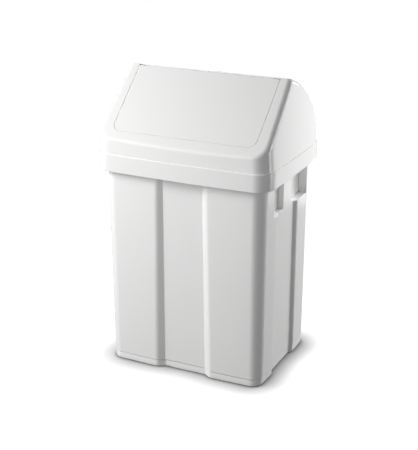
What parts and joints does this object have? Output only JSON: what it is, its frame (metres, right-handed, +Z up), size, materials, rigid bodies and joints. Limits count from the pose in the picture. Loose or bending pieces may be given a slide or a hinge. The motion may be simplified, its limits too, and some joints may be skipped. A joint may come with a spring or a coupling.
{
  "type": "swing-lid trash can",
  "caption": "Tall rectangular plastic kitchen bin with a lift-off hood; a flap in the hood's slope swings inwards on two side pins and falls shut.",
  "frame": {"origin": "centre of the footprint on the floor", "axes": "+Z up, -Y is the front where the flap is, +X is the bin's right seen from above with the front towards the viewer"},
  "size_m": [0.4098, 0.32, 0.658],
  "materials": {
    "body_plastic": "satin moulded plastic",
    "hood_plastic": "satin moulded plastic",
    "flap_plastic": "satin moulded plastic",
    "pin_plastic": "moulded plastic",
    "rod_steel": "drawn bar, zinc plated"
  },
  "bodies": {
    "bin": {"bin_body": "body_plastic"},
    "hood": {"hood": "hood_plastic", "pivot_pin_left": "pin_plastic", "pivot_pin_right": "pin_plastic"},
    "flap": {"swing_flap": "flap_plastic", "weight_rod": "rod_steel"}
  },
  "joints": [
    {"name": "hood_lift", "type": "slide", "parent": "bin", "child": "hood", "axis": [0, 0, 1], "range_m": [0, 0.1]},
    {"name": "flap_swing", "type": "hinge", "parent": "hood", "child": "flap", "pos_m": [0, -0.04093, 0.605], "axis": [1, 0, 0], "range_deg": [0, 75]}
  ]
}
